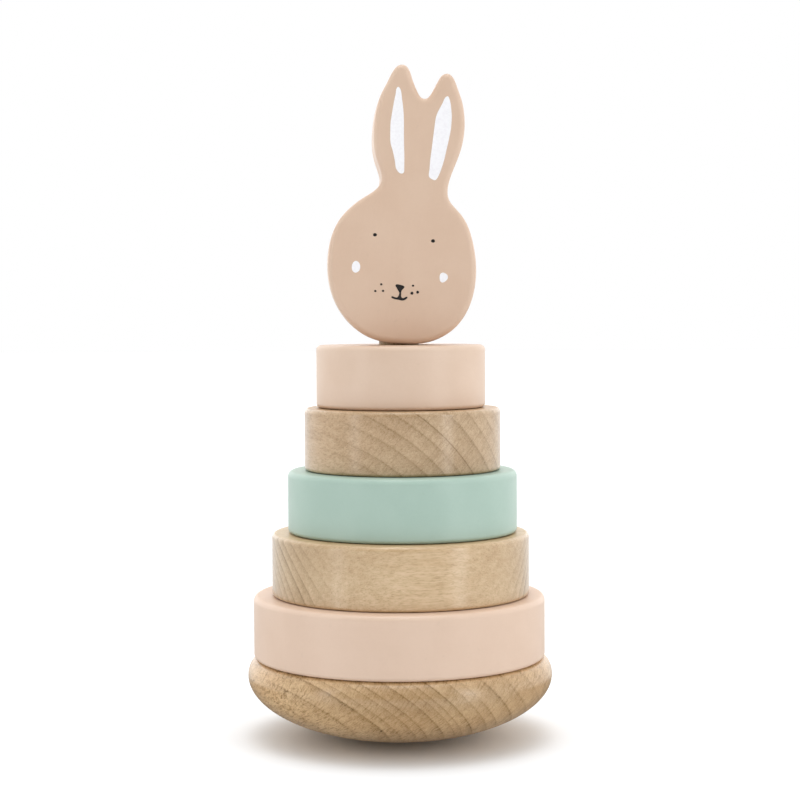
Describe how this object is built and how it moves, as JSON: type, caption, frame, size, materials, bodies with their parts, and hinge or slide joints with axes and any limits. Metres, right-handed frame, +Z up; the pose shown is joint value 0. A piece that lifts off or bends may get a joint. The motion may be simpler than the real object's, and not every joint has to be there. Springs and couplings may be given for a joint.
{
  "type": "stacking ring toy",
  "caption": "Wooden stacking toy: loose rings of falling diameter on an upright post in a domed rocking base, capped by a flat rabbit head.",
  "frame": {"origin": "centre of the small flat under the domed base, where the toy meets the table", "axes": "+Z up along the post, +X to the right of someone facing the rabbit's face, which looks along -Y"},
  "size_m": [0.1, 0.1, 0.2183],
  "materials": {
    "beech_base": "satin",
    "beech_post": "satin",
    "pink_paint_ring_1": "satin",
    "beech_ring_2": "satin",
    "mint_paint": "satin",
    "beech_ring_4": "satin",
    "pink_paint_ring_5": "satin",
    "rose_paint_head": "satin"
  },
  "bodies": {
    "base": {"rocker_base": "beech_base", "center_post": "beech_post"},
    "ring_1": {"ring_1_pink": "pink_paint_ring_1"},
    "ring_2": {"ring_2_natural": "beech_ring_2"},
    "ring_3": {"ring_3_mint": "mint_paint"},
    "ring_4": {"ring_4_natural": "beech_ring_4"},
    "ring_5": {"ring_5_pink": "pink_paint_ring_5"},
    "head": {"rabbit_head": "rose_paint_head"}
  },
  "joints": [
    {"name": "ring_1_lift", "type": "slide", "parent": "base", "child": "ring_1", "axis": [0, 0, 1], "range_m": [0, 0.125]},
    {"name": "ring_2_lift", "type": "slide", "parent": "ring_1", "child": "ring_2", "axis": [0, 0, 1], "range_m": [0, 0.105]},
    {"name": "ring_3_lift", "type": "slide", "parent": "ring_2", "child": "ring_3", "axis": [0, 0, 1], "range_m": [0, 0.085]},
    {"name": "ring_4_lift", "type": "slide", "parent": "ring_3", "child": "ring_4", "axis": [0, 0, 1], "range_m": [0, 0.065]},
    {"name": "ring_5_lift", "type": "slide", "parent": "ring_4", "child": "ring_5", "axis": [0, 0, 1], "range_m": [0, 0.045]},
    {"name": "head_lift", "type": "slide", "parent": "ring_5", "child": "head", "axis": [0, 0, 1], "range_m": [0, 0.025]}
  ]
}
